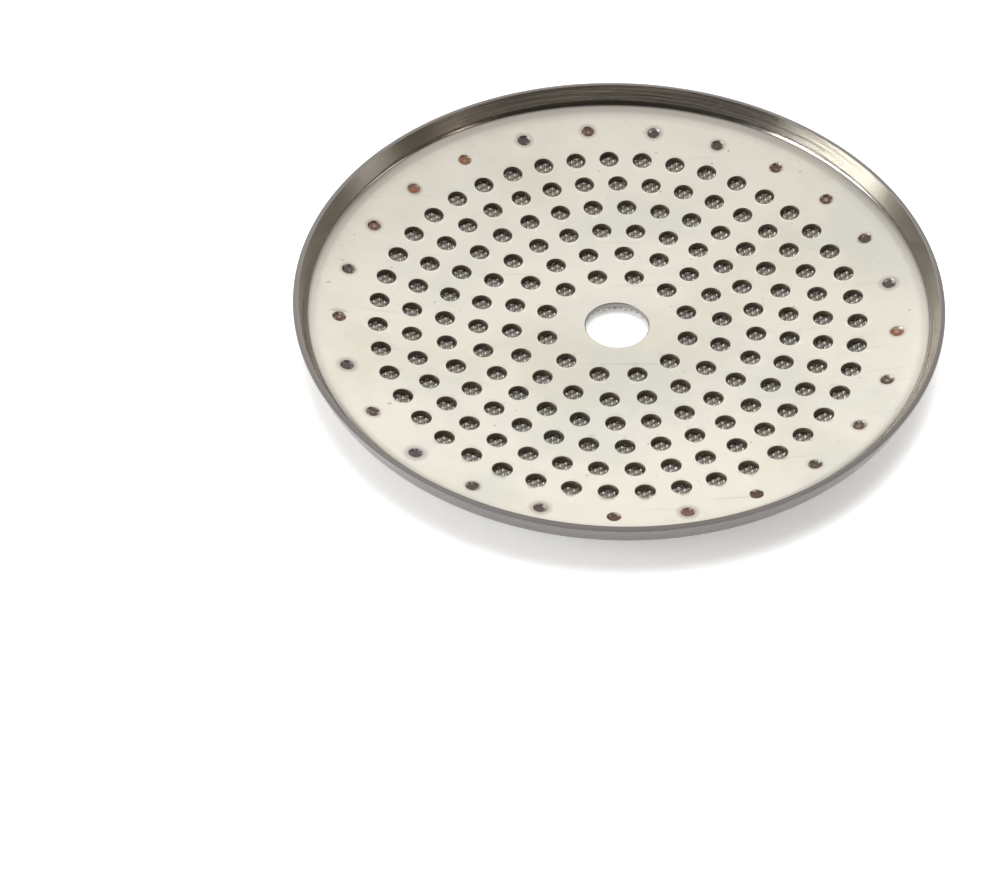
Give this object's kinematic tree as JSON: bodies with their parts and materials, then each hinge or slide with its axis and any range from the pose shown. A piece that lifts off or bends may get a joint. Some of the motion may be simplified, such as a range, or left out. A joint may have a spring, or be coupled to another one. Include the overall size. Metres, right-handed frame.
{
  "type": "espresso shower screen",
  "caption": "Round dished shower screen: a perforated steel cup with a flared wall, a central screw hole and a woven wire disc welded to its outer face.",
  "frame": {"origin": "on the axis, at the lowest point of the wire disc, which the screen lies on", "axes": "+Z along the axis towards the cup's open rim, which faces the group head; +X to the right in the picture's view, +Y away from it"},
  "size_m": [0.057, 0.057, 0.0055],
  "materials": {
    "cup_steel": "satin stamped stainless steel, lightly tarnished",
    "mesh_steel": "woven stainless wire, tinted by use"
  },
  "bodies": {
    "root": {"perforated_cup": "cup_steel", "mesh_disc": "mesh_steel"}
  },
  "joints": []
}
